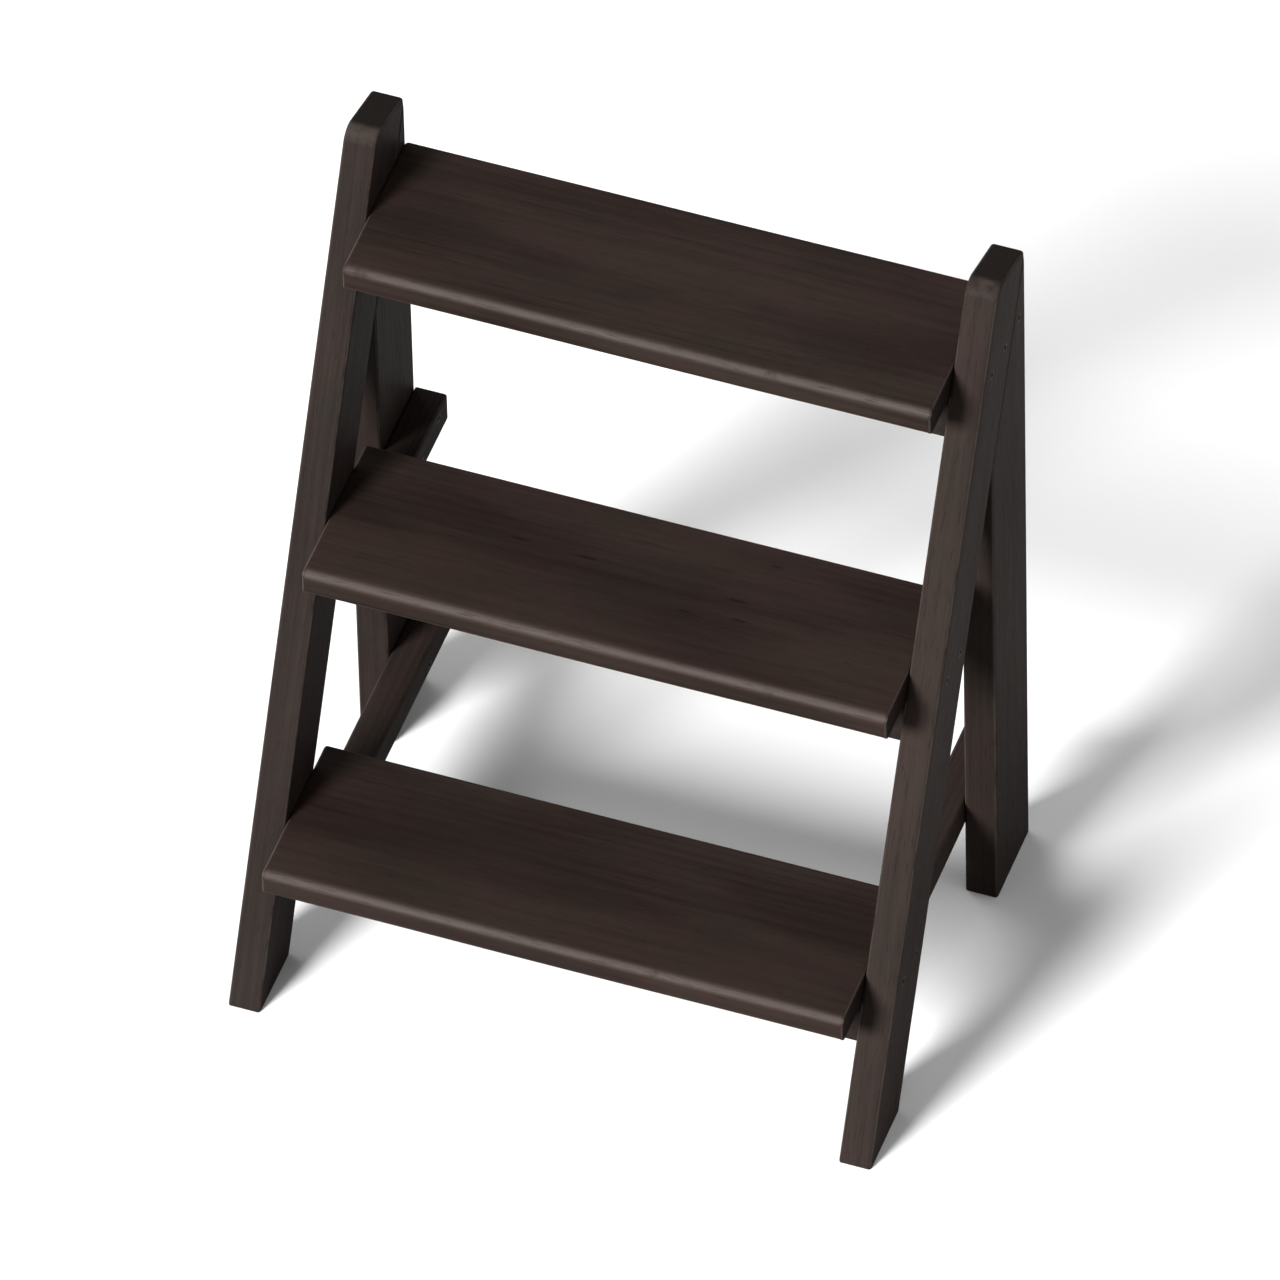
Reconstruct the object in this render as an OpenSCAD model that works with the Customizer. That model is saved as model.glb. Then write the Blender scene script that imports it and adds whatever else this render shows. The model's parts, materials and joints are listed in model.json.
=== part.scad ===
// Wooden spa steps with three treads.
// Each side frame is a raking stile, an upright rear leg and three rails lapped on their inner faces.
// The treads lie between the side frames, and every joint is held by countersunk wood screws.
// Frame: the origin is on the floor in the middle of the footprint, +X is to the right of someone
// climbing the steps, +Y is towards the tub behind them, and +Z is up. Sizes are in millimetres.

/* [Overall size] */
// Height of the rear legs, to the tips where they meet the stiles
height = 688; // [650:1:740]
// Depth from the front of the stiles' feet to the back of the rear legs
depth = 392; // [370:1:440]
// Length of each tread, which lies between the side frames
tread_length = 498; // [400:1:700]

/* [Boards] */
// Thickness of every board
board_t = 28; // [25:1:32]
// Length of floor that a stile's foot covers, front to back
stile_foot = 70; // [60:1:80]
// Width of a rear leg, front to back
leg_width = 80; // [60:1:90]
// Height of a rail
rail_height = 30; // [28:1:40]
// Gap between a tread's underside and the rails below it
rail_drop = 18; // [10:1:24]
// Depth of a tread, from its nosing to its back edge
tread_depth = 150; // [130:1:160]
// How far a rail's front end stays behind the stile's front edge
rail_setback = 24; // [15:1:30]

/* [Climb] */
// Height of the bottom tread's top face
first_rise = 154; // [140:1:170]
// Rise from each tread to the next
rise = 242; // [225:1:250]

/* [Edges] */
// Radius of the boards' eased long edges
edge_r = 3; // [1:0.5:5]
// Radius of a tread's rounded front edges
nosing_r = 10; // [6:1:12]
// Radius of the corner at the top front of a stile
crown_r = 16; // [10:1:20]
// Fall of a stile's top towards the back, in degrees
crown_slope = 16; // [5:1:24]

/* [Screws] */
// Shank diameter of the wood screws
screw_d = 5; // [4:0.5:6]
// Length of the screws from a side frame into the end of a tread
tread_screw_length = 70; // [60:1:90]
// Length of the screws from a rail out into a stile or leg
rail_screw_length = 45; // [35:1:48]
// Length of the screws from a leg's back edge into the stile
leg_screw_length = 80; // [70:1:85]

/* [Hidden] */
$fn = 48;

LEFT = -1;
RIGHT = 1;
BOTTOM = 0;
MIDDLE = 1;
TOP = 2;

side_wood = [0.25, 0.21, 0.19];
rail_wood = [0.21, 0.17, 0.155];
tread_wood = [0.29, 0.235, 0.21];
screw_steel = [0.2, 0.17, 0.15];

front_y = -depth / 2;
back_y = depth / 2;
inner_x = tread_length / 2;
outer_x = inner_x + board_t;
frame_x = inner_x + board_t / 2;
rail_x = inner_x - board_t / 2;

// The stile leans back so that its back edge meets the leg's back edge at the leg's tip
rake = atan((depth - stile_foot) / height);
stile_width = stile_foot * cos(rake);
overrun = 100;

head_r = 0.95 * screw_d;
head_h = 0.55 * screw_d;
drive_r = 0.4 * screw_d;
drive_depth = 0.4 * screw_d;
tip_length = screw_d;
hole_slack = 0.05;
cut_spare = 1;

// Offset of the two screws from a stile into the end of a tread, from the stile's middle
stile_screw_offset = 16;
// Offset upwards of the two screws at each lap of a rail, from the rail's middle
lap_screw_offset_z = 6;
// Drops of the two leg screws, from the leg's tip
leg_screw_drops = [32, 132];

function stile_front_y(z) = front_y + z * tan(rake);
function stile_back_y(z) = stile_front_y(z) + stile_foot;
function stile_middle_y(z) = stile_front_y(z) + stile_foot / 2;
function rail_front_y(z) = stile_front_y(z) + rail_setback / cos(rake);
function leg_front_y(z) = max(back_y - leg_width, stile_back_y(z));
function leg_middle_y(z) = (leg_front_y(z) + back_y) / 2;
function tread_top(level) = first_rise + level * rise;
function tread_middle(level) = tread_top(level) - board_t / 2;
function rail_top(level) = tread_top(level) - board_t - rail_drop;
function rail_middle(level) = rail_top(level) - rail_height / 2;

// The top tread's back edge is flush with the legs, and the others overhang their stiles as far
nosing_overhang = stile_front_y(tread_top(TOP)) + tread_depth - back_y;
function tread_front_y(level) = stile_front_y(tread_top(level)) - nosing_overhang;

// ---- Board shapes ----

// What a round-over removes outside a circle at the origin, in the quadrant (side_x, side_y)
module round_over(side_x, side_y, r) {
    reach = r + cut_spare;
    difference() {
        translate([side_x > 0 ? 0 : -reach, side_y > 0 ? 0 : -reach])
            square(reach);
        circle(r);
    }
}

// Cross-section of a board, centred, with radius r_low on its two -X corners and r_high on the +X ones
module board_section(size_x, size_y, r_low, r_high) {
    difference() {
        square([size_x, size_y], center = true);
        for (side_y = [-1, 1]) {
            translate([r_low - size_x / 2, side_y * (size_y / 2 - r_low)])
                round_over(-1, side_y, r_low);
            translate([size_x / 2 - r_high, side_y * (size_y / 2 - r_high)])
                round_over(1, side_y, r_high);
        }
    }
}

// Turns to the stile's own axes: Z runs up its front edge, and Y across its width from that edge
module along_rake() {
    translate([0, front_y, 0])
        rotate([-rake, 0, 0])
            children();
}

// Everything in front of a plane that is parallel to the stile's front edge, setback behind it
module ahead_of_rake(setback) {
    along_rake()
        translate([-overrun, setback - depth - overrun, -overrun])
            cube([2 * overrun, depth + overrun, height + 3 * overrun]);
}

// Everything above a stile's sloping top and outside its crown's arc, as a bar along X
module crown_waste() {
    up_rake = [sin(rake), cos(rake)];
    down_slope = [cos(crown_slope), -sin(crown_slope)];
    corner_z = (height + (back_y - front_y) * tan(crown_slope)) / (1 + tan(rake) * tan(crown_slope));
    corner = [stile_front_y(corner_z), corner_z];
    // Along the arc, the outline turns through 90 - rake + crown_slope degrees
    tangent_length = crown_r * tan((90 - rake + crown_slope) / 2);
    front_tangent = corner - tangent_length * up_rake;
    top_tangent = corner + tangent_length * down_slope;
    middle = front_tangent + crown_r * [cos(rake), -sin(rake)];
    rotate([90, 0, 90])
        linear_extrude(2 * board_t, center = true)
            difference() {
                polygon([
                    middle, front_tangent, front_tangent + overrun * [-cos(rake), sin(rake)],
                    corner + [0, overrun], corner + overrun * [2, 1],
                    top_tangent + overrun * down_slope, top_tangent
                ]);
                translate(middle)
                    circle(crown_r);
            }
}

// ---- Screws ----

// A countersunk screw along +Z, with its head's flat top at the origin
module screw(length) {
    difference() {
        screw_body(length, 0);
        translate([0, 0, -cut_spare])
            cylinder(r = drive_r, h = drive_depth + cut_spare, $fn = 6);
    }
}

// The hole that such a screw fills
module screw_hole(length) {
    screw_body(length, hole_slack);
    translate([0, 0, -cut_spare])
        cylinder(r = head_r + hole_slack, h = cut_spare);
}

module screw_body(length, slack) {
    rotate_extrude()
        polygon([
            [0, 0], [head_r + slack, 0], [screw_d / 2 + slack, head_h],
            [screw_d / 2 + slack, length - tip_length + slack], [0, length + slack]
        ]);
}

// Places for the screws from both side frames into a level's tread. The top one takes the legs' too
module at_tread_screws(level) {
    z = tread_middle(level);
    stile_y = stile_middle_y(z);
    places = [stile_y - stile_screw_offset, stile_y + stile_screw_offset, leg_middle_y(z)];
    for (side = [LEFT, RIGHT], i = [0 : level == TOP ? 2 : 1])
        translate([side * outer_x, places[i], z])
            rotate([0, -side * 90, 0])
                children();
}

// Places for the screws from one rail into its stile and its leg
module at_rail_screws(side, level) {
    z = rail_middle(level);
    at_lap_screws(side, rail_front_y(z), stile_back_y(z), z)
        children();
    at_lap_screws(side, leg_front_y(z), back_y, z)
        children();
}

// Two places on a rail's inner face, at the quarters of a lap, for screws that point out of the steps
module at_lap_screws(side, lap_front_y, lap_back_y, z) {
    lap_middle_y = (lap_front_y + lap_back_y) / 2;
    quarter = (lap_back_y - lap_front_y) / 4;
    for (way = [-1, 1])
        translate([side * (inner_x - board_t), lap_middle_y + way * quarter, z + way * lap_screw_offset_z])
            rotate([0, side * 90, 0])
                children();
}

// Places for the screws from a leg's back edge forward into the stile
module at_leg_screws(side) {
    for (drop = leg_screw_drops)
        translate([side * frame_x, back_y, height - drop])
            rotate([90, 0, 0])
                children();
}

// All the holes in one side frame's stile and leg
module side_screw_holes(side) {
    for (level = [BOTTOM, MIDDLE, TOP]) {
        at_rail_screws(side, level)
            screw_hole(rail_screw_length);
        at_tread_screws(level)
            screw_hole(tread_screw_length);
    }
    at_leg_screws(side)
        screw_hole(leg_screw_length);
}

// ---- Boards ----

module stile(side) {
    difference() {
        translate([side * frame_x, 0, 0])
            intersection() {
                along_rake()
                    translate([0, stile_width / 2, -overrun])
                        linear_extrude(height / cos(rake) + 2 * overrun)
                            board_section(board_t, stile_width, edge_r, edge_r);
                translate([-board_t, front_y - overrun, 0])
                    cube([2 * board_t, depth + 2 * overrun, height + overrun]);
            }
        translate([side * frame_x, 0, 0])
            crown_waste();
        side_screw_holes(side);
    }
}

module rear_leg(side) {
    difference() {
        translate([side * frame_x, back_y - leg_width / 2, 0])
            linear_extrude(height + overrun)
                board_section(board_t, leg_width, edge_r, edge_r);
        translate([side * frame_x, 0, 0])
            ahead_of_rake(stile_width);
        side_screw_holes(side);
    }
}

module rail(side, level) {
    difference() {
        translate([side * rail_x, back_y, rail_middle(level)])
            rotate([90, 0, 0])
                linear_extrude(depth + overrun)
                    board_section(board_t, rail_height, edge_r, edge_r);
        translate([side * rail_x, 0, 0])
            ahead_of_rake(rail_setback);
        at_rail_screws(side, level)
            screw_hole(rail_screw_length);
    }
}

module tread(level) {
    difference() {
        translate([0, tread_front_y(level) + tread_depth / 2, tread_middle(level)])
            rotate([90, 0, 90])
                linear_extrude(tread_length, center = true)
                    board_section(tread_depth, board_t, nosing_r, edge_r);
        at_tread_screws(level)
            screw_hole(tread_screw_length);
    }
}

// ---- The pieces ----

module left_stile() { color(side_wood) stile(LEFT); }
module right_stile() { color(side_wood) stile(RIGHT); }
module left_rear_leg() { color(side_wood) rear_leg(LEFT); }
module right_rear_leg() { color(side_wood) rear_leg(RIGHT); }

module left_bottom_rail() { color(rail_wood) rail(LEFT, BOTTOM); }
module left_middle_rail() { color(rail_wood) rail(LEFT, MIDDLE); }
module left_top_rail() { color(rail_wood) rail(LEFT, TOP); }
module right_bottom_rail() { color(rail_wood) rail(RIGHT, BOTTOM); }
module right_middle_rail() { color(rail_wood) rail(RIGHT, MIDDLE); }
module right_top_rail() { color(rail_wood) rail(RIGHT, TOP); }

module bottom_tread() { color(tread_wood) tread(BOTTOM); }
module middle_tread() { color(tread_wood) tread(MIDDLE); }
module top_tread() { color(tread_wood) tread(TOP); }

module tread_screws(level) {
    color(screw_steel)
        at_tread_screws(level)
            screw(tread_screw_length);
}

module rail_screws(side) {
    color(screw_steel)
        for (level = [BOTTOM, MIDDLE, TOP])
            at_rail_screws(side, level)
                screw(rail_screw_length);
}

module leg_screws(side) {
    color(screw_steel)
        at_leg_screws(side)
            screw(leg_screw_length);
}

module bottom_tread_screws() { tread_screws(BOTTOM); }
module middle_tread_screws() { tread_screws(MIDDLE); }
module top_tread_screws() { tread_screws(TOP); }
module left_rail_screws() { rail_screws(LEFT); }
module right_rail_screws() { rail_screws(RIGHT); }
module left_leg_screws() { leg_screws(LEFT); }
module right_leg_screws() { leg_screws(RIGHT); }

left_stile();
right_stile();
left_rear_leg();
right_rear_leg();
left_bottom_rail();
left_middle_rail();
left_top_rail();
right_bottom_rail();
right_middle_rail();
right_top_rail();
bottom_tread();
middle_tread();
top_tread();
bottom_tread_screws();
middle_tread_screws();
top_tread_screws();
left_rail_screws();
right_rail_screws();
left_leg_screws();
right_leg_screws();
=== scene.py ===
"""Wooden spa steps: stained boards with eased edges, their screws, and a plain bright studio."""

import json
import math
import random
from contextlib import contextmanager

import bmesh
import bpy
from mathutils import Matrix, Vector


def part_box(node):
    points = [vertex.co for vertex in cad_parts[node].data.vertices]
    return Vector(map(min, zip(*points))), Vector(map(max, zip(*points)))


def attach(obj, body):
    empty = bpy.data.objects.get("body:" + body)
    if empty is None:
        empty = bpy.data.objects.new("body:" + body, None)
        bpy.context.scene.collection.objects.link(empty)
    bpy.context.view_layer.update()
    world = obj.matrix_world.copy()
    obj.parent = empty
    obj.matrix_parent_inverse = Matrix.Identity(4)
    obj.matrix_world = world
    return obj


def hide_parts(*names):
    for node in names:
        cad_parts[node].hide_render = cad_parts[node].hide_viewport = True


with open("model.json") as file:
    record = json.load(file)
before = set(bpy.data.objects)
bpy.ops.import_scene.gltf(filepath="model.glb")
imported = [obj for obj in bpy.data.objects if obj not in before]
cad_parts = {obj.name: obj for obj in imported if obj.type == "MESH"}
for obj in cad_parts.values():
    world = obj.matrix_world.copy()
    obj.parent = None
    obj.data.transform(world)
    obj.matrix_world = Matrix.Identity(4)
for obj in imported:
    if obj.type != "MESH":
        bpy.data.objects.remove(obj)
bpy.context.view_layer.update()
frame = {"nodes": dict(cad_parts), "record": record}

RANDOM = random.Random(7)
MM = 0.001
SAME_PLACE = 0.001 * MM
X, Y, Z = Vector((1, 0, 0)), Vector((0, 1, 0)), Vector((0, 0, 1))

# ---- Measures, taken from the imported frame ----

STILE_LOW, STILE_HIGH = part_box("left_stile")
TIP_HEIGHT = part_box("left_rear_leg")[1].z
FRONT_Y, BACK_Y = STILE_LOW.y, STILE_HIGH.y
MOUNTS = {mount["name"]: mount for mount in frame["record"]["mounts"]}
FOOT_LENGTH = 2 * (MOUNTS["left_front_foot"]["pos_m"][1] - FRONT_Y)
RAKE = math.atan((BACK_Y - FRONT_Y - FOOT_LENGTH) / TIP_HEIGHT)
UP_RAKE = Vector((0, math.sin(RAKE), math.cos(RAKE)))
ACROSS_RAKE = Vector((0, math.cos(RAKE), -math.sin(RAKE)))

# ---- Finishing sizes ----

EASED_R = 3 * MM                    # the boards' long edges
END_SHARE = 0.4                     # how much of that radius the feet and the rails' ends get
NOSING_R = 10 * MM                  # the treads' front edges
CROWN_R = 16 * MM                   # the stiles' top front corners
CROWN_SLOPE = math.radians(16)      # how far the stiles' tops fall towards the back
EASED_STEPS, NOSING_STEPS, CROWN_STEPS = 4, 8, 10

HOLE_CLEARANCE = 0.3 * MM           # between a screw's head and its countersink
LATHE_STEPS = 24
THREAD_STEPS = 14

WEAR_DEPTH = 0.6 * MM               # how far feet have worn a tread's top down
WEAR_FLAT, WEAR_REACH = 0.03, 0.16  # the lowest part of the hollow, and how far it spreads beyond
WEAR_BACK = 0.04                    # from a tread's front edge to the hollow's middle
WEAR_WANDER = 0.03                  # how far the hollow's middle may lie to either side


# ---- Modelling tools ----

def deselect_all():
    bpy.ops.object.select_all(action="DESELECT")


def select_only(*pieces):
    """Selects some pieces and nothing else. The first one is active."""
    deselect_all()
    for piece in pieces:
        piece.select_set(True)
    bpy.context.view_layer.objects.active = pieces[0]


def join(pieces):
    """Joins pieces into the first of them."""
    select_only(*pieces)
    if len(pieces) > 1:
        bpy.ops.object.join()
    return pieces[0]


@contextmanager
def editing(piece, kind="VERT"):
    """Edit mode on one piece, with nothing selected at first."""
    select_only(piece)
    bpy.ops.object.mode_set(mode="EDIT")
    bpy.ops.mesh.select_mode(type=kind)
    bpy.ops.mesh.select_all(action="DESELECT")
    yield
    bpy.ops.object.mode_set(mode="OBJECT")


def pick(piece, kind, test):
    """Selects the vertices, edges or faces that pass a test. Edit mode must be on."""
    shape = bmesh.from_edit_mesh(piece.data)
    shape.normal_update()
    for element in getattr(shape, kind):
        if test(element):
            element.select_set(True)
    bmesh.update_edit_mesh(piece.data)


def fix_place(piece, name):
    """Puts the place, turn and scale of a new primitive into its mesh, and names it."""
    piece.name = piece.data.name = name
    select_only(piece)
    bpy.ops.object.transform_apply(location=True, rotation=True, scale=True)
    return piece


def sawn_block(name, low, high):
    """A board's blank, sawn square to size."""
    deselect_all()
    bpy.ops.mesh.primitive_cube_add(size=1, location=(low + high) / 2, scale=high - low)
    return fix_place(bpy.context.object, name)


def saw(piece, point, normal):
    """Cuts off all that lies on a plane's normal side, and closes the cut."""
    with editing(piece):
        bpy.ops.mesh.select_all(action="SELECT")
        bpy.ops.mesh.bisect(plane_co=point, plane_no=normal, use_fill=True, clear_outer=True)


def score(piece, point, normal):
    """Adds a ring of edges where a plane meets the piece, and takes nothing away."""
    with editing(piece):
        bpy.ops.mesh.select_all(action="SELECT")
        bpy.ops.mesh.bisect(plane_co=point, plane_no=normal)


def is_sharp(edge, least_degrees=20):
    return len(edge.link_faces) == 2 and edge.calc_face_angle() > math.radians(least_degrees)


def round_edges(piece, radius, segments, share=lambda edge: 1.0):
    """Rounds the sharp edges, each to its own share of a radius. An edge whose share is 0 stays sharp."""
    shape = bmesh.new()
    shape.from_mesh(piece.data)
    shape.normal_update()
    weight = shape.edges.layers.float.new("bevel_weight_edge")
    for edge in shape.edges:
        edge[weight] = share(edge) if is_sharp(edge) else 0.0
    shape.to_mesh(piece.data)
    shape.free()
    apply_modifier(piece, "BEVEL", limit_method="WEIGHT", width=radius, segments=segments,
                   use_clamp_overlap=False)
    piece.data.attributes.remove(piece.data.attributes["bevel_weight_edge"])


def along(edge, direction, least_cosine=0.99):
    line = edge.verts[1].co - edge.verts[0].co
    return abs(line.normalized().dot(direction)) > least_cosine


def lies_on(edge, point, normal, slack=0.01 * MM):
    return all(abs((vert.co - point).dot(normal)) < slack for vert in edge.verts)


def apply_modifier(piece, kind, **settings):
    select_only(piece)
    modifier = piece.modifiers.new(kind.title(), kind)
    for key, value in settings.items():
        setattr(modifier, key, value)
    bpy.ops.object.modifier_apply(modifier=modifier.name)


def cut_with(piece, cutters):
    """Takes the cutters' shapes out of a piece, and bins the cutters."""
    tool = join(cutters)
    apply_modifier(piece, "BOOLEAN", operation="DIFFERENCE", object=tool, solver="EXACT")
    bpy.data.objects.remove(tool)


def finish_surface(piece, smooth_degrees=40):
    """Smooths the rounded edges, and keeps broad faces flat in their shading."""
    select_only(piece)
    bpy.ops.object.shade_smooth_by_angle(angle=math.radians(smooth_degrees))
    apply_modifier(piece, "WEIGHTED_NORMAL", mode="FACE_AREA", weight=100, keep_sharp=True)


# ---- Screws ----

def islands(node):
    """The lowest and highest corner of each separate solid in a CAD node."""
    shape = bmesh.new()
    shape.from_mesh(frame["nodes"][node].data)
    bmesh.ops.remove_doubles(shape, verts=shape.verts, dist=SAME_PLACE)
    unseen = set(shape.verts)
    found = []
    while unseen:
        to_visit = [unseen.pop()]
        island = []
        while to_visit:
            vert = to_visit.pop()
            island.append(vert.co.copy())
            for edge in vert.link_edges:
                other = edge.other_vert(vert)
                if other in unseen:
                    unseen.remove(other)
                    to_visit.append(other)
        low = Vector(min(point[i] for point in island) for i in range(3))
        high = Vector(max(point[i] for point in island) for i in range(3))
        found.append((low, high))
    shape.free()
    return sorted(found, key=lambda box: tuple(round(value, 4) for value in box[0]))


def screw_sites(node, point_way):
    """Where each screw of a group has its head's middle, which way it points, and its length."""
    sites = []
    for low, high in islands(node):
        middle = (low + high) / 2
        size = high - low
        way = point_way(middle)
        length = abs(size.dot(way))
        sites.append({"head": middle - way * length / 2, "way": way, "length": length,
                      "radius": min(size) / 2})
    return sites


def outward(middle):
    return Vector((math.copysign(1, middle.x), 0, 0))


def inward(middle):
    return -outward(middle)


def forward(middle):
    return -Y


SCREW_GROUPS = {
    "bottom_tread_screws": inward, "middle_tread_screws": inward, "top_tread_screws": inward,
    "left_rail_screws": outward, "right_rail_screws": outward,
    "left_leg_screws": forward, "right_leg_screws": forward,
}
SITES = {node: screw_sites(node, way) for node, way in SCREW_GROUPS.items()}
ALL_SITES = [site for sites in SITES.values() for site in sites]


def turn_to(way):
    """The turn that takes +Z to the way a screw points."""
    return way.to_track_quat("Z", "Y").to_matrix().to_4x4()


def drawn_line(name, points):
    """A string of edges through (radius, height) points: one corner, extruded from point to point."""
    deselect_all()
    bpy.ops.mesh.primitive_plane_add(size=MM)
    line = fix_place(bpy.context.object, name)
    with editing(line):
        bpy.ops.mesh.select_all(action="SELECT")
        bpy.ops.mesh.merge(type="CENTER")
        bpy.ops.mesh.select_all(action="SELECT")
        radius, height = points[0]
        bpy.ops.transform.translate(value=(radius, 0, height))
        for last, point in zip(points, points[1:]):
            step = (point[0] - last[0], 0, point[1] - last[1])
            bpy.ops.mesh.extrude_vertices_move(TRANSFORM_OT_translate={"value": step})
    return line


def lathe(name, outline):
    """Turns an outline of (radius, height) points round Z, as on a lathe."""
    piece = drawn_line(name, outline)
    with editing(piece):
        bpy.ops.mesh.select_all(action="SELECT")
        bpy.ops.mesh.spin(steps=LATHE_STEPS, angle=2 * math.pi, center=(0, 0, 0), axis=(0, 0, 1))
        bpy.ops.mesh.select_all(action="SELECT")
        bpy.ops.mesh.remove_doubles(threshold=SAME_PLACE)
        bpy.ops.mesh.normals_make_consistent(inside=False)
    return piece


def drill_bit(site):
    """The shape of a screw's hole: a countersink, the open air above it, and a pilot below it."""
    head_r = site["radius"] + HOLE_CLEARANCE
    pilot_r = 0.42 * site["radius"]
    head_h = 0.55 * site["radius"]
    air = -MM
    point_start = 0.97 * site["length"]
    bit = lathe("bit", [(0, air), (head_r, air), (head_r, 0), (pilot_r, head_h),
                        (pilot_r, point_start), (0, site["length"])])
    bit.data.transform(Matrix.Translation(site["head"]) @ turn_to(site["way"]))
    return bit


def drill(piece, low, high):
    """Drills a board for every screw that passes through its box."""
    bits = []
    for site in ALL_SITES:
        tip = site["head"] + site["way"] * site["length"]
        near = [min(a, b) for a, b in zip(site["head"], tip)]
        far = [max(a, b) for a, b in zip(site["head"], tip)]
        if all(near[i] < high[i] + MM and far[i] > low[i] - MM for i in range(3)):
            bits.append(drill_bit(site))
    if bits:
        cut_with(piece, bits)


# ---- Boards ----

def stile(name):
    """A raking front board: sawn, leaned back, sloped and rounded at the top, and eased all round."""
    low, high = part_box(name)
    blank_high = Vector((high.x, low.y + FOOT_LENGTH, high.z + CROWN_R))
    piece = sawn_block(name + "_board", low, blank_high)
    with editing(piece):
        pick(piece, "verts", lambda vert: vert.co.z > TIP_HEIGHT)
        bpy.ops.transform.translate(value=(0, blank_high.z * math.tan(RAKE), 0))
    slope_normal = Vector((0, math.sin(CROWN_SLOPE), math.cos(CROWN_SLOPE)))
    tip = Vector((0, BACK_Y, TIP_HEIGHT))
    saw(piece, tip, slope_normal)
    crown_turn = math.pi / 2 - RAKE + CROWN_SLOPE
    round_edges(piece, CROWN_R * math.tan(crown_turn / 2), CROWN_STEPS,
                lambda edge: lies_on(edge, low, ACROSS_RAKE) and lies_on(edge, tip, slope_normal))
    round_edges(piece, EASED_R, EASED_STEPS,
                lambda edge: END_SHARE if lies_on(edge, low, Z) else 1.0)
    drill(piece, low, high)
    return piece


def rear_leg(name):
    """An upright back board, mitred where it meets the stile."""
    low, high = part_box(name)
    piece = sawn_block(name + "_board", low, high)
    saw(piece, Vector((0, BACK_Y, TIP_HEIGHT)), -ACROSS_RAKE)
    round_edges(piece, EASED_R, EASED_STEPS,
                lambda edge: END_SHARE if lies_on(edge, low, Z) else 1.0)
    drill(piece, low, high)
    return piece


def rail(name):
    """A bar that laps the stile and the leg, its front end cut to the rake."""
    low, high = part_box(name)
    piece = sawn_block(name + "_board", low, high)
    saw(piece, Vector((0, low.y, low.z)), -ACROSS_RAKE)
    round_edges(piece, EASED_R, EASED_STEPS, lambda edge: 1.0 if along(edge, Y) else END_SHARE)
    drill(piece, low, high)
    return piece


def tread(name):
    """A step board with a rounded nosing, worn very slightly hollow where feet land."""
    low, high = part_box(name)
    piece = sawn_block(name + "_board", low, high)
    round_edges(piece, NOSING_R, NOSING_STEPS,
                lambda edge: 1.0 if lies_on(edge, low, Y) and along(edge, X) else EASED_R / NOSING_R)
    columns, rows = 20, 6
    for i in range(1, columns):
        score(piece, Vector((low.x + (high.x - low.x) * i / columns, 0, 0)), X)
    for i in range(1, rows - 1):
        score(piece, Vector((0, low.y + NOSING_R + (high.y - low.y) * i / rows, 0)), Y)
    aside = RANDOM.uniform(-WEAR_WANDER, WEAR_WANDER)
    wear_hollow(piece, Vector((aside, low.y + WEAR_BACK, high.z)))
    drill(piece, low, high)
    return piece


def wear_hollow(piece, middle):
    """Presses the top down by a fraction of a millimetre round a point."""
    with editing(piece):
        pick(piece, "verts", lambda vert: (vert.co - middle).length < WEAR_FLAT)
        bpy.ops.transform.translate(
            value=(0, 0, -WEAR_DEPTH), use_proportional_edit=True,
            proportional_edit_falloff="SMOOTH", proportional_size=WEAR_REACH)


def lay_grain(piece, along_grain, across_grain):
    """Stores each point's place in the plank that the board was sawn from, in metres."""
    through = along_grain.cross(across_grain)
    corners = [Vector(corner) for corner in piece.bound_box]
    middle = sum(corners, Vector()) / len(corners)
    down_the_trunk = RANDOM.uniform(0, 40)
    beside_the_pith = RANDOM.uniform(-0.03, 0.03)
    out_from_the_pith = RANDOM.uniform(0.02, 0.06)
    start = Vector((down_the_trunk, beside_the_pith, out_from_the_pith))
    board_shade = RANDOM.random()
    places = []
    for vert in piece.data.vertices:
        offset = vert.co - middle
        places.extend(start + Vector((
            offset.dot(along_grain), offset.dot(across_grain), offset.dot(through))))
    piece.data.attributes.new("plank", "FLOAT_VECTOR", "POINT").data.foreach_set("vector", places)
    shades = [board_shade] * len(piece.data.vertices)
    piece.data.attributes.new("board_shade", "FLOAT", "POINT").data.foreach_set("value", shades)


# ---- Node helpers ----

def feed(tree, socket, value):
    """Feeds an input from a plain value or from another node's output."""
    if isinstance(value, bpy.types.NodeSocket):
        tree.links.new(value, socket)
    else:
        socket.default_value = value


def place(tree, kind, inputs=None, **settings):
    """Adds a node, sets it up and feeds its inputs."""
    node = tree.nodes.new(kind)
    for key, value in settings.items():
        setattr(node, key, value)
    for key, value in (inputs or {}).items():
        feed(tree, node.inputs[key], value)
    return node


def maths(tree, operation, first, second=0.0, third=0.0):
    return place(tree, "ShaderNodeMath", {0: first, 1: second, 2: third},
                 operation=operation).outputs[0]


def weighted_sum(tree, base, *terms):
    """A base value plus each term's value times its weight."""
    total = base
    for value, weight in terms:
        total = maths(tree, "MULTIPLY_ADD", value, weight, total)
    return total


def vector_maths(tree, operation, first, second):
    return place(tree, "ShaderNodeVectorMath", {0: first, 1: second}, operation=operation).outputs[0]


def dot(tree, first, second):
    return place(tree, "ShaderNodeVectorMath", {0: first, 1: second},
                 operation="DOT_PRODUCT").outputs["Value"]


def ramp(tree, value, low, high, to_low=0.0, to_high=1.0):
    """Maps low..high smoothly to to_low..to_high. Low may be the larger of the two."""
    return place(tree, "ShaderNodeMapRange",
                 {"Value": value, "From Min": low, "From Max": high, "To Min": to_low,
                  "To Max": to_high}, interpolation_type="SMOOTHSTEP").outputs["Result"]


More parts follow.
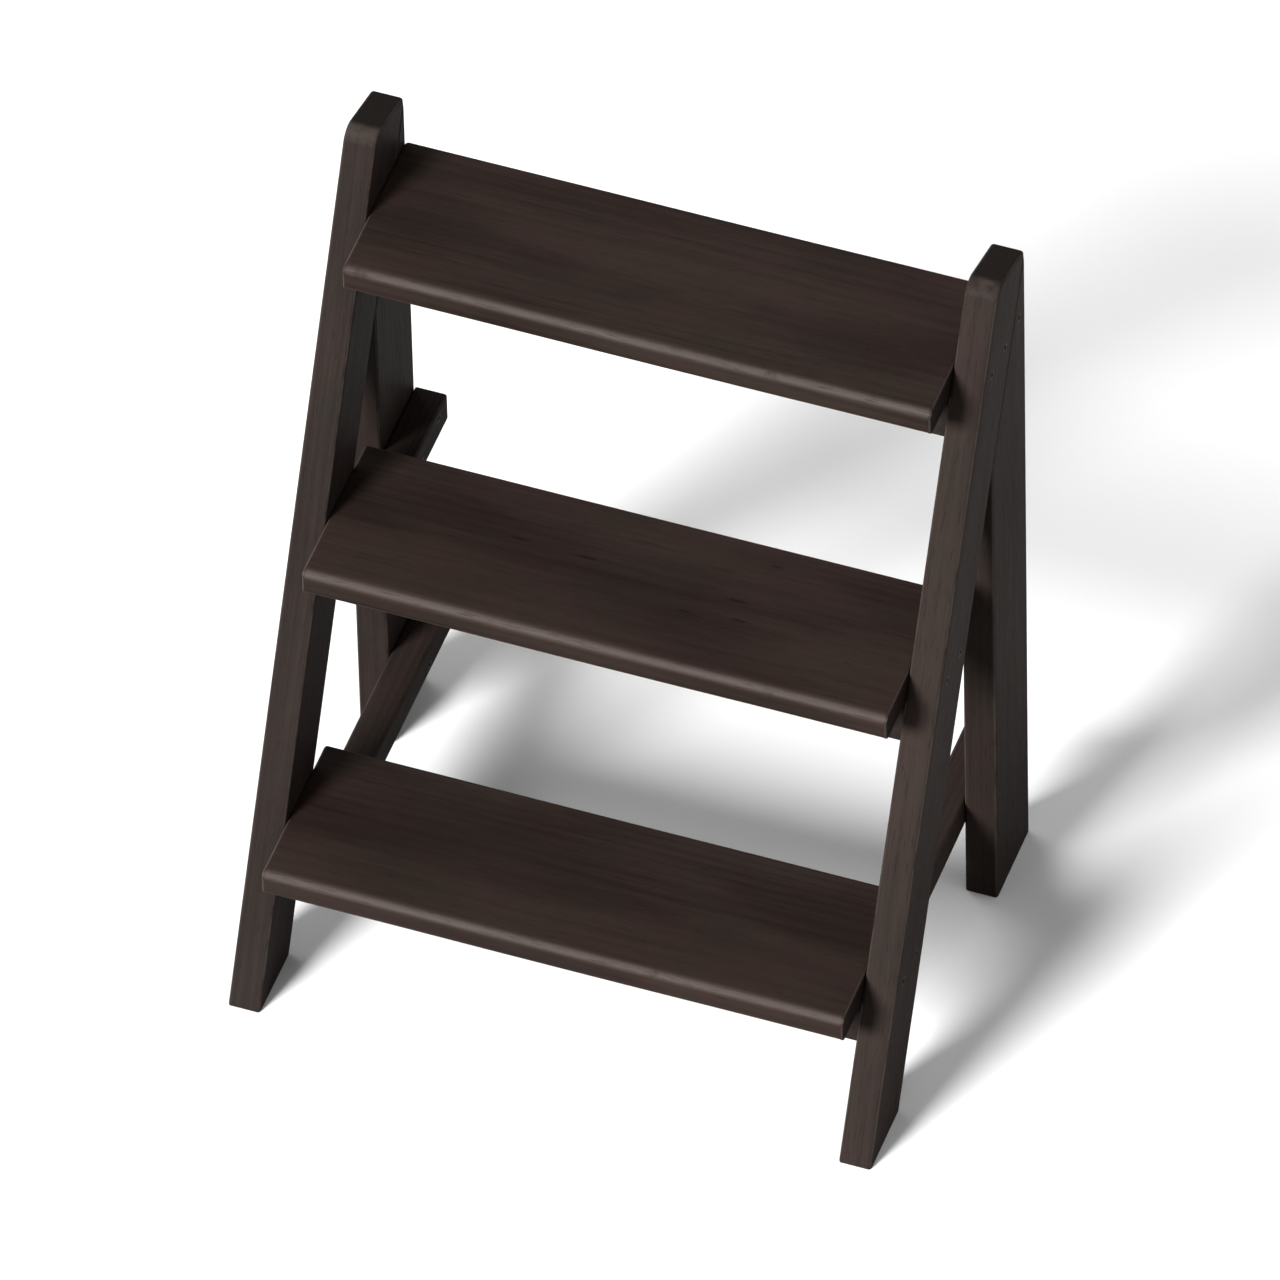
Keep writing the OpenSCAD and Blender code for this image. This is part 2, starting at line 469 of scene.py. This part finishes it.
def noise(tree, vector, stretch, detail=4.0, roughness=0.6, distortion=0.0):
    """Noise whose waves per metre are given for each axis."""
    stretched = vector_maths(tree, "MULTIPLY", vector, stretch)
    return place(tree, "ShaderNodeTexNoise",
                 {"Vector": stretched, "Scale": 1.0, "Detail": detail, "Roughness": roughness,
                  "Distortion": distortion}).outputs["Fac"]


def mix_colour(tree, factor, first, second, blend="MIX"):
    """Mixes two colours. The Mix node's colour sockets are inputs 6 and 7, and output 2."""
    return place(tree, "ShaderNodeMix", {0: factor, 6: first, 7: second},
                 data_type="RGBA", blend_type=blend).outputs[2]


def new_group(name, inputs, outputs):
    """A node group with named sockets. Inputs and outputs are (name, socket kind, default)."""
    tree = bpy.data.node_groups.new(name, "ShaderNodeTree")
    for way, sockets in (("INPUT", inputs), ("OUTPUT", outputs)):
        for socket_name, kind, default in sockets:
            socket = tree.interface.new_socket(socket_name, in_out=way, socket_type=kind)
            if default is not None:
                socket.default_value = default
    source = tree.nodes.new("NodeGroupInput")
    sink = tree.nodes.new("NodeGroupOutput")
    return tree, source.outputs, sink.inputs


def use_group(tree, group, inputs):
    node = tree.nodes.new("ShaderNodeGroup")
    node.node_tree = group
    for key, value in inputs.items():
        feed(tree, node.inputs[key], value)
    return node.outputs


FLOAT, VECTOR = "NodeSocketFloat", "NodeSocketVector"


# ---- Shared effects ----

def board_grain():
    """Growth rings, fibres, pores and stain blotches of a sawn board, from its place in the plank."""
    tree, source, sink = new_group(
        "Board grain",
        [("Plank", VECTOR, None), ("Ring spacing", FLOAT, 0.006), ("Waviness", FLOAT, 0.008)],
        [("Rings", FLOAT, None), ("Fibres", FLOAT, None), ("Pores", FLOAT, None),
         ("Blotches", FLOAT, None), ("Warmth", FLOAT, None)])
    plank = source["Plank"]
    # The pith runs along the plank's X, and each ring swerves a little as the trunk wandered
    wander = maths(tree, "SUBTRACT", noise(tree, plank, (2.2, 9, 9), 2.0), 0.5)
    axes = place(tree, "ShaderNodeSeparateXYZ", {0: plank}).outputs
    out_of_pith = maths(tree, "SQRT", maths(
        tree, "ADD", maths(tree, "MULTIPLY", axes["Y"], axes["Y"]),
        maths(tree, "MULTIPLY", axes["Z"], axes["Z"])))
    radius = maths(tree, "MULTIPLY_ADD", wander, source["Waviness"], out_of_pith)
    turns = maths(tree, "DIVIDE", radius, source["Ring spacing"])
    wave = maths(tree, "SINE", maths(tree, "MULTIPLY", turns, 2 * math.pi))
    ring = ramp(tree, wave, -0.2, 1.0)
    strength = ramp(tree, noise(tree, plank, (1.5, 30, 30), 2.0), 0.3, 0.7, 0.35, 1.0)
    tree.links.new(maths(tree, "MULTIPLY", ring, strength), sink["Rings"])

    fibres = noise(tree, plank, (9, 420, 420), 5.0, 0.7)
    tree.links.new(ramp(tree, fibres, 0.3, 0.7), sink["Fibres"])
    pores = noise(tree, plank, (55, 1500, 1500), 2.0, 0.5)
    tree.links.new(ramp(tree, pores, 0.6, 0.72), sink["Pores"])
    blotches = noise(tree, plank, (3.5, 14, 14), 3.0, 0.55)
    tree.links.new(ramp(tree, blotches, 0.3, 0.7), sink["Blotches"])
    warmth = noise(tree, plank, (16, 24, 24), 2.0, 0.5)
    tree.links.new(ramp(tree, warmth, 0.35, 0.65), sink["Warmth"])
    return tree


def edge_wear():
    """Rubbed rounded edges, broken up by noise, and the end grain, from the way the surface faces."""
    tree, source, sink = new_group(
        "Edge wear",
        [("Along", VECTOR, None), ("Across", VECTOR, None), ("Through", VECTOR, None),
         ("Cover", FLOAT, 0.5)],
        [("Wear", FLOAT, None), ("End grain", FLOAT, None)])
    coordinates = place(tree, "ShaderNodeTexCoord").outputs
    facing = {}
    for axis in ("Along", "Across", "Through"):
        facing[axis] = maths(tree, "ABSOLUTE", dot(tree, coordinates["Normal"], source[axis]))
    flatness = maths(tree, "MAXIMUM", facing["Along"],
                     maths(tree, "MAXIMUM", facing["Across"], facing["Through"]))
    # The rounded-edge mask carries rubbed wear, and on the treads also a painted highlight along the
    # nosing
    rounded = ramp(tree, flatness, 0.995, 0.80)
    rubbing = noise(tree, coordinates["Object"], (28, 28, 28), 4.0, 0.65)
    patches = ramp(tree, maths(tree, "MULTIPLY_ADD", source["Cover"], 0.4, rubbing), 0.55, 0.8)
    tree.links.new(maths(tree, "MULTIPLY", rounded, patches), sink["Wear"])
    tree.links.new(ramp(tree, facing["Along"], 0.75, 0.95), sink["End grain"])
    return tree


def split():
    """The mask of a short ragged split that runs along X, as a tread's grain does."""
    tree, source, sink = new_group(
        "Split", [("Position", VECTOR, None), ("Centre", VECTOR, None), ("Size", FLOAT, 0.014)],
        [("Mask", FLOAT, None)])
    offset = vector_maths(tree, "SUBTRACT", source["Position"], source["Centre"])
    narrowing = (1, 5, 1)
    reach = place(tree, "ShaderNodeVectorMath", {0: vector_maths(tree, "MULTIPLY", offset, narrowing)},
                  operation="LENGTH").outputs["Value"]
    ragged = maths(tree, "MULTIPLY", noise(tree, source["Position"], (220, 700, 220), 3.0), 0.6)
    distance = maths(tree, "ADD", maths(tree, "DIVIDE", reach, source["Size"]), ragged)
    tree.links.new(ramp(tree, distance, 1.0, 0.5), sink["Mask"])
    return tree


GRAIN, WEAR, SPLIT = board_grain(), edge_wear(), split()


# ---- Finishes ----

def new_material(name):
    material = bpy.data.materials.new(name)
    material.use_nodes = True
    tree = material.node_tree
    tree.nodes.clear()
    shader = tree.nodes.new("ShaderNodeBsdfPrincipled")
    output = tree.nodes.new("ShaderNodeOutputMaterial")
    tree.links.new(shader.outputs[0], output.inputs["Surface"])
    return material, tree, shader


def darker(colour, share):
    """A colour with its red, green and blue brought down to a share."""
    return tuple(part * share for part in colour[:3]) + (1,)


def stained_wood(name, along_grain, across_grain, deep, pale, worn_and_sheen, roughness, cover, splits=()):
    """Dark walnut stain on planed softwood, rubbed paler on its edges and darker on its end grain.

    Deep and pale are the stain's darkest and lightest colours, worn_and_sheen is the rounded edges'
    colour: rubbed wear, and on the treads also a painted highlight along the nosing. Cover says how much
    of the edges takes that colour.
    """
    material, tree, shader = new_material(name)
    plank = place(tree, "ShaderNodeAttribute", attribute_name="plank").outputs["Vector"]
    shade = place(tree, "ShaderNodeAttribute", attribute_name="board_shade").outputs["Fac"]
    position = place(tree, "ShaderNodeTexCoord").outputs["Object"]
    split_mask = 0.0
    for centre, size in splits:
        mark = use_group(tree, SPLIT, {"Position": position, "Centre": centre, "Size": size})
        split_mask = maths(tree, "MAXIMUM", mark["Mask"], split_mask)
    grain = use_group(tree, GRAIN, {"Plank": plank})
    edges = use_group(tree, WEAR, {"Along": along_grain, "Across": across_grain,
                                   "Through": along_grain.cross(across_grain), "Cover": cover})
    wear_and_sheen = edges["Wear"]

    tone = weighted_sum(tree, 0.25, (grain["Blotches"], 0.45), (grain["Rings"], -0.14),
                        (grain["Fibres"], 0.24), (maths(tree, "SUBTRACT", shade, 0.5), 0.18))
    colour = mix_colour(tree, ramp(tree, tone, 0.0, 1.0), deep, pale)
    cool, warm = (0.95, 1.01, 0.96, 1), (1.05, 0.99, 0.99, 1)
    tint = mix_colour(tree, grain["Warmth"], cool, warm)
    colour = mix_colour(tree, 1.0, colour, tint, "MULTIPLY")
    soaked = darker(deep, 0.6)
    colour = mix_colour(tree, maths(tree, "MULTIPLY", edges["End grain"], 0.8), colour, soaked)
    # Rounded edges turn paler: rubbed wear, and on the treads' nosings also a painted highlight
    colour = mix_colour(tree, maths(tree, "MULTIPLY", wear_and_sheen, 0.75), colour, worn_and_sheen)
    darkness = maths(tree, "MAXIMUM", maths(tree, "MULTIPLY", grain["Pores"], 0.45),
                     maths(tree, "MULTIPLY", split_mask, 0.55))
    colour = mix_colour(tree, darkness, colour, darker(deep, 0.3))
    tree.links.new(colour, shader.inputs["Base Color"])

    rough = weighted_sum(tree, roughness, (wear_and_sheen, -0.06), (grain["Fibres"], 0.10), (grain["Pores"], 0.15))
    tree.links.new(rough, shader.inputs["Roughness"])

    relief = weighted_sum(tree, 0.0, (grain["Pores"], -0.8), (grain["Rings"], 0.4),
                          (grain["Fibres"], 0.5), (split_mask, -0.9))
    bump = place(tree, "ShaderNodeBump", {"Height": relief, "Strength": 0.5, "Distance": 0.25 * MM})
    tree.links.new(bump.outputs[0], shader.inputs["Normal"])
    shader.inputs["Specular IOR Level"].default_value = 0.06
    return material


def screw_finish():
    """Steel with a bronze-brown coat, brushed, and dulled in patches."""
    material, tree, shader = new_material("bronze coated screw")
    position = place(tree, "ShaderNodeTexCoord").outputs["Object"]
    brushed = noise(tree, position, (900, 900, 900), 3.0, 0.6)
    dulling = ramp(tree, noise(tree, position, (220, 220, 220), 3.0), 0.35, 0.65)
    bright, dull = (0.045, 0.034, 0.028, 1), (0.026, 0.020, 0.017, 1)
    tree.links.new(mix_colour(tree, dulling, bright, dull), shader.inputs["Base Color"])
    rough = weighted_sum(tree, 0.42, (dulling, 0.15), (brushed, 0.2))
    tree.links.new(rough, shader.inputs["Roughness"])
    bump = place(tree, "ShaderNodeBump", {"Height": brushed, "Strength": 0.2, "Distance": 0.05 * MM})
    tree.links.new(bump.outputs[0], shader.inputs["Normal"])
    shader.inputs["Metallic"].default_value = 1.0
    return material


MIDDLE_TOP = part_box("middle_tread")[1].z
# The places and sizes of the splits in the middle tread's top
SPLITS = [(Vector((x, y, MIDDLE_TOP)), size) for x, y, size in (
    (-0.095, 0.025, 0.016), (-0.037, 0.023, 0.018), (0.057, -0.007, 0.013),
    (0.093, 0.017, 0.017), (0.103, -0.003, 0.014), (0.111, 0.062, 0.012))]

# The treads' pale edge colour and near-full cover are partly rubbed wear and partly a painted highlight
# along the nosings
TREAD_STAIN = {"deep": (0.0125, 0.0078, 0.0066, 1), "pale": (0.027, 0.0178, 0.0150, 1),
               "worn_and_sheen": (0.062, 0.048, 0.042, 1), "roughness": 0.50, "cover": 0.9}
SIDE_STAIN = {"deep": (0.013, 0.0092, 0.008, 1), "pale": (0.027, 0.0188, 0.0160, 1),
              "worn_and_sheen": (0.046, 0.036, 0.031, 1), "roughness": 0.50, "cover": 0.6}
RAIL_STAIN = {"deep": (0.011, 0.0075, 0.0065, 1), "pale": (0.024, 0.0165, 0.0142, 1),
              "worn_and_sheen": (0.036, 0.027, 0.024, 1), "roughness": 0.54, "cover": 0.5}

TREAD_WOOD = stained_wood("walnut stained tread", X, Y, splits=SPLITS, **TREAD_STAIN)
STILE_WOOD = stained_wood("walnut stained stile", UP_RAKE, ACROSS_RAKE, **SIDE_STAIN)
LEG_WOOD = stained_wood("walnut stained leg", Z, Y, **SIDE_STAIN)
RAIL_WOOD = stained_wood("walnut stained rail", Y, Z, **RAIL_STAIN)
SCREW_STEEL = screw_finish()


# ---- Screws as pieces ----

def countersunk_screw(name, length, radius):
    """A screw along +Z: countersunk head with a hexagon socket, shank, thread and point."""
    face_r, rim_h, head_h = 0.94 * radius, 0.04 * radius, 0.58 * radius
    shank_r, root_r, crest_r = 0.5 * radius, 0.38 * radius, 0.52 * radius
    shank_end, root_start, thread_start = 0.36 * length, 0.38 * length, 0.4 * length
    point_start = length - radius
    socket_r = socket_depth = 0.42 * radius
    blank = lathe(name, [(0, 0), (face_r, 0), (radius, rim_h), (shank_r, head_h), (shank_r, shank_end),
                         (root_r, root_start), (root_r, point_start), (0, length)])
    deselect_all()
    bpy.ops.mesh.primitive_cylinder_add(vertices=6, radius=socket_r, depth=2 * socket_depth)
    cut_with(blank, [fix_place(bpy.context.object, "socket")])
    thread = screw_thread(name + "_thread", 0.9 * root_r, crest_r, thread_start, point_start)
    screw = join([blank, thread])
    finish_surface(screw, smooth_degrees=35)
    return screw


def screw_thread(name, root_r, crest_r, start, end):
    """A helical ridge from start to end, closed at both ends."""
    pitch = 0.9 * crest_r
    flank, crest = 0.25 * pitch, 0.06 * pitch
    turns = max(1, round((end - start) / pitch))
    piece = drawn_line(name, [(root_r, start), (crest_r, start + flank),
                              (crest_r, start + flank + crest), (root_r, start + 2 * flank + crest)])
    with editing(piece):
        # The face closes the ridge's outline, and only its edges are kept
        bpy.ops.mesh.select_all(action="SELECT")
        bpy.ops.mesh.edge_face_add()
        bpy.ops.mesh.delete(type="ONLY_FACE")
    apply_modifier(piece, "SCREW", axis="Z", steps=THREAD_STEPS, render_steps=THREAD_STEPS,
                   iterations=turns, screw_offset=pitch, use_merge_vertices=True,
                   merge_threshold=SAME_PLACE)
    with editing(piece, "EDGE"):
        pick(piece, "edges", lambda edge: len(edge.link_faces) == 1)
        bpy.ops.mesh.edge_face_add()
        bpy.ops.mesh.select_all(action="SELECT")
        bpy.ops.mesh.normals_make_consistent(inside=False)
    return piece


def screw_group(node):
    """All the screws of one group as one piece, each a copy of one pattern, turned its own way."""
    sites = SITES[node]
    pattern = countersunk_screw(node + "_set", sites[0]["length"], sites[0]["radius"])
    copies = []
    for site in sites:
        copy = pattern.copy()
        copy.data = pattern.data.copy()
        bpy.context.collection.objects.link(copy)
        spin = Matrix.Rotation(RANDOM.uniform(0, math.pi), 4, "Z")
        copy.data.transform(Matrix.Translation(site["head"]) @ turn_to(site["way"]) @ spin)
        copies.append(copy)
    bpy.data.objects.remove(pattern)
    piece = join(copies)
    piece.name = piece.data.name = node + "_set"
    return piece


# ---- Making the steps ----

def hand_over(piece, node, material):
    """Gives a finished piece its material, and lets it stand for its CAD node."""
    piece.data.materials.clear()
    piece.data.materials.append(material)
    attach(piece, "root")
    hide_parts(node)


SIDES, LEVELS = ("left", "right"), ("bottom", "middle", "top")
STILES = [f"{side}_stile" for side in SIDES]
REAR_LEGS = [f"{side}_rear_leg" for side in SIDES]
RAILS = [f"{side}_{level}_rail" for side in SIDES for level in LEVELS]
TREADS = [f"{level}_tread" for level in LEVELS]


def make_boards(nodes, make, along_grain, across_grain, material):
    for node in nodes:
        board = make(node)
        finish_surface(board)
        lay_grain(board, along_grain, across_grain)
        hand_over(board, node, material)


make_boards(STILES, stile, UP_RAKE, ACROSS_RAKE, STILE_WOOD)
make_boards(REAR_LEGS, rear_leg, Z, Y, LEG_WOOD)
make_boards(RAILS, rail, Y, Z, RAIL_WOOD)
make_boards(TREADS, tread, X, Y, TREAD_WOOD)

for node in SCREW_GROUPS:
    hand_over(screw_group(node), node, SCREW_STEEL)


# ---- Studio ----

def studio_floor(size, bounced, seen):
    """A floor that looks nearly white but throws back less light, so the wood's shade stays dark."""
    deselect_all()
    bpy.ops.mesh.primitive_plane_add(size=size)
    floor = fix_place(bpy.context.object, "studio_floor")
    material, tree, shader = new_material("white studio floor")
    to_camera = place(tree, "ShaderNodeLightPath").outputs["Is Camera Ray"]
    colour = mix_colour(tree, to_camera, (bounced, bounced, bounced, 1), (seen, seen, seen, 1))
    tree.links.new(colour, shader.inputs["Base Color"])
    shader.inputs["Roughness"].default_value = 1.0
    shader.inputs["Specular IOR Level"].default_value = 0.0
    floor.data.materials.append(material)


def compass(azimuth, elevation):
    """The direction from the steps to a place. Azimuth 0 is in front of them, and grows towards +X."""
    a, e = math.radians(azimuth), math.radians(elevation)
    return Vector((math.sin(a) * math.cos(e), -math.cos(a) * math.cos(e), math.sin(e)))


def soft_sun(name, azimuth, elevation, strength, softness):
    """A distant lamp that is softness degrees broad."""
    lamp = bpy.data.lights.new(name, "SUN")
    lamp.energy = strength
    lamp.angle = math.radians(softness)
    holder = bpy.data.objects.new(name, lamp)
    bpy.context.collection.objects.link(holder)
    holder.rotation_euler = (-compass(azimuth, elevation)).to_track_quat("-Z", "Y").to_euler()


def studio_world(front, back, facing):
    """A glow that goes from back up to front towards one side, and is white where the camera sees it."""
    world = bpy.data.worlds.new("studio")
    bpy.context.scene.world = world
    world.use_nodes = True
    tree = world.node_tree
    tree.nodes.clear()
    way = place(tree, "ShaderNodeTexCoord").outputs["Generated"]
    level = ramp(tree, dot(tree, way, facing), -0.5, 0.8, back, front)
    level = maths(tree, "MAXIMUM", level, place(tree, "ShaderNodeLightPath").outputs["Is Camera Ray"])
    glow = place(tree, "ShaderNodeBackground", {"Color": (1, 1, 1, 1), "Strength": level})
    output = place(tree, "ShaderNodeOutputWorld")
    tree.links.new(glow.outputs[0], output.inputs["Surface"])


def studio_camera(target, azimuth, elevation, distance, roll, lens):
    data = bpy.data.cameras.new("camera")
    data.lens = lens
    data.sensor_width = 36
    data.clip_end = 500
    camera = bpy.data.objects.new("camera", data)
    bpy.context.collection.objects.link(camera)
    back = compass(azimuth, elevation)
    camera.location = target + back * distance
    turn = (-back).to_track_quat("-Z", "Y").to_matrix() @ Matrix.Rotation(math.radians(roll), 3, "Z")
    camera.rotation_euler = turn.to_euler()
    bpy.context.scene.camera = camera


studio_floor(size=400, bounced=0.42, seen=0.85)
studio_world(front=0.42, back=0.2, facing=compass(-20, 35))
soft_sun("key", azimuth=-27, elevation=30, strength=6.8, softness=20)
soft_sun("side_fill", azimuth=95, elevation=12, strength=0.9, softness=50)
soft_sun("back_fill", azimuth=240, elevation=20, strength=1.1, softness=45)
studio_camera(Vector((0.0153, 0, 0.3395)), azimuth=20.83, elevation=47.39, distance=18.49,
              roll=-1.5, lens=646.7)
bpy.context.scene.view_settings.view_transform = "Standard"
